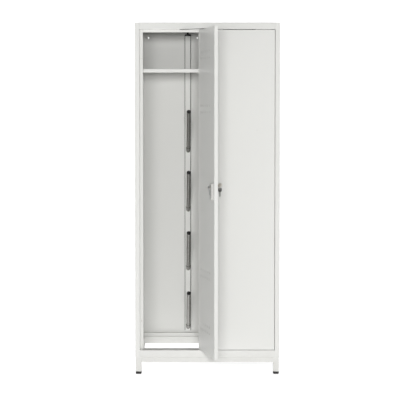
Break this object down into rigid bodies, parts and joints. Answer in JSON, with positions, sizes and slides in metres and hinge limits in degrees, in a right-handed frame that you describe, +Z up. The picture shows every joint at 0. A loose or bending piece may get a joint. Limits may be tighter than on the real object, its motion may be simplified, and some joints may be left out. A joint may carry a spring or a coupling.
{
  "type": "ski locker cabinet",
  "caption": "Steel ski locker: tall doors, hat shelves, slanted boot-drying tubes on an air duct, open floor and a low square-tube underframe.",
  "frame": {"origin": "on the floor, at the centre of the cabinet's footprint (doors left out)", "axes": "+Z up, +X to the right of a person facing the doors, +Y towards the back panel"},
  "size_m": [0.8, 0.8236, 1.95],
  "materials": {
    "body_paint": "light grey semi-gloss powder coat on sheet steel",
    "door_paint": "light grey semi-gloss powder coat on sheet steel",
    "zinc_plate": "zinc-plated steel",
    "nickel_plate": "nickel-plated brass, bright",
    "polished_steel": "polished stainless tube",
    "dark_steel": "blackened steel",
    "black_plastic": "moulded black plastic",
    "key_plastic": "moulded black plastic bow on a nickel blade",
    "pale_plastic": "moulded light grey plastic",
    "black_rubber": "black rubber",
    "pale_rubber": "light grey rubber"
  },
  "bodies": {
    "root": {"legs": "body_paint", "foot_caps": "black_plastic", "underframe_front_rail": "body_paint", "underframe_side_rails": "body_paint", "left_stile": "body_paint", "right_stile": "body_paint", "centre_post": "body_paint", "front_top_rail": "body_paint", "front_bottom_rail": "body_paint", "stay_studs": "dark_steel", "left_side_panel": "body_paint", "right_side_panel": "body_paint", "partition": "body_paint", "back_panel": "body_paint", "roof_panel": "body_paint", "rear_floor_rail": "body_paint", "side_floor_rails": "body_paint", "centre_floor_rail": "body_paint", "hat_shelves": "body_paint", "shelf_brackets": "body_paint", "back_rivets": "zinc_plate", "door_buffers": "pale_rubber", "hinge_bushes": "pale_plastic", "duct_seals": "black_rubber", "roof_grommets": "black_rubber", "air_ducts": "body_paint", "duct_bottom_plugs": "black_plastic", "air_spigots": "black_plastic", "boot_tubes": "polished_steel", "boot_tube_collars": "polished_steel", "boot_tube_caps": "black_plastic"},
    "left_door": {"left_door_outer_skin": "door_paint", "left_door_inner_skin": "door_paint", "left_door_lock_channel": "door_paint", "left_door_pin_blocks": "zinc_plate", "left_door_hinge_pins": "zinc_plate", "left_stay_rivet": "zinc_plate", "left_lock_housing": "nickel_plate", "left_lock_nut": "nickel_plate", "left_lock_guard": "pale_plastic"},
    "left_stay": {"left_stay_strap": "dark_steel"},
    "left_lock": {"left_lock_plug": "nickel_plate", "left_lock_cam": "zinc_plate", "left_lock_cam_nut": "zinc_plate"},
    "right_door": {"right_door_outer_skin": "door_paint", "right_door_inner_skin": "door_paint", "right_door_lock_channel": "door_paint", "right_door_pin_blocks": "zinc_plate", "right_door_hinge_pins": "zinc_plate", "right_stay_rivet": "zinc_plate", "right_lock_housing": "nickel_plate", "right_lock_nut": "nickel_plate", "right_lock_guard": "pale_plastic"},
    "right_stay": {"right_stay_strap": "dark_steel"},
    "right_lock": {"right_lock_plug": "nickel_plate", "right_lock_cam": "zinc_plate", "right_lock_cam_nut": "zinc_plate", "right_key": "nickel_plate"},
    "key_ring": {"key_ring": "nickel_plate"},
    "spare_key": {"spare_key": "key_plastic"}
  },
  "joints": [
    {"name": "left_door_hinge", "type": "hinge", "parent": "root", "child": "left_door", "pos_m": [-0.0345, -0.242, 0], "axis": [0, 0, 1], "range_deg": [-104, 0]},
    {"name": "right_door_hinge", "type": "hinge", "parent": "root", "child": "right_door", "pos_m": [0.3625, -0.242, 0], "axis": [0, 0, 1], "range_deg": [0, 104]},
    {"name": "left_stay_turn", "type": "hinge", "parent": "left_door", "child": "left_stay", "pos_m": [-0.01176, -0.34145, 1.911], "axis": [0, 0, 1], "range_deg": [0, 140.98]},
    {"name": "right_stay_turn", "type": "hinge", "parent": "right_door", "child": "right_stay", "pos_m": [0.2605, -0.24, 1.911], "axis": [0, 0, 1], "range_deg": [-140.98, 0]},
    {"name": "left_lock_turn", "type": "hinge", "parent": "left_door", "child": "left_lock", "pos_m": [0.04415, -0.52436, 1.054], "axis": [-0.9703, -0.2419, 0], "range_deg": [0, 90]},
    {"name": "right_lock_turn", "type": "hinge", "parent": "right_door", "child": "right_lock", "pos_m": [0.0695, -0.25, 1.054], "axis": [0, 1, 0], "range_deg": [0, 90]},
    {"name": "key_ring_swing", "type": "hinge", "parent": "right_lock", "child": "key_ring", "pos_m": [0.0695, -0.2725, 1.054], "axis": [1, 0, 0], "range_deg": [-60, 8]},
    {"name": "spare_key_swing", "type": "hinge", "parent": "key_ring", "child": "spare_key", "pos_m": [0.0695, -0.2725, 1.036], "axis": [0.7071, 0.7071, 0], "range_deg": [-20, 10]}
  ],
  "couplings": [
    {"joint": "left_stay_turn", "follows": "left_door_hinge", "ratio": -1.3556},
    {"joint": "right_stay_turn", "follows": "right_door_hinge", "ratio": -1.3556}
  ]
}
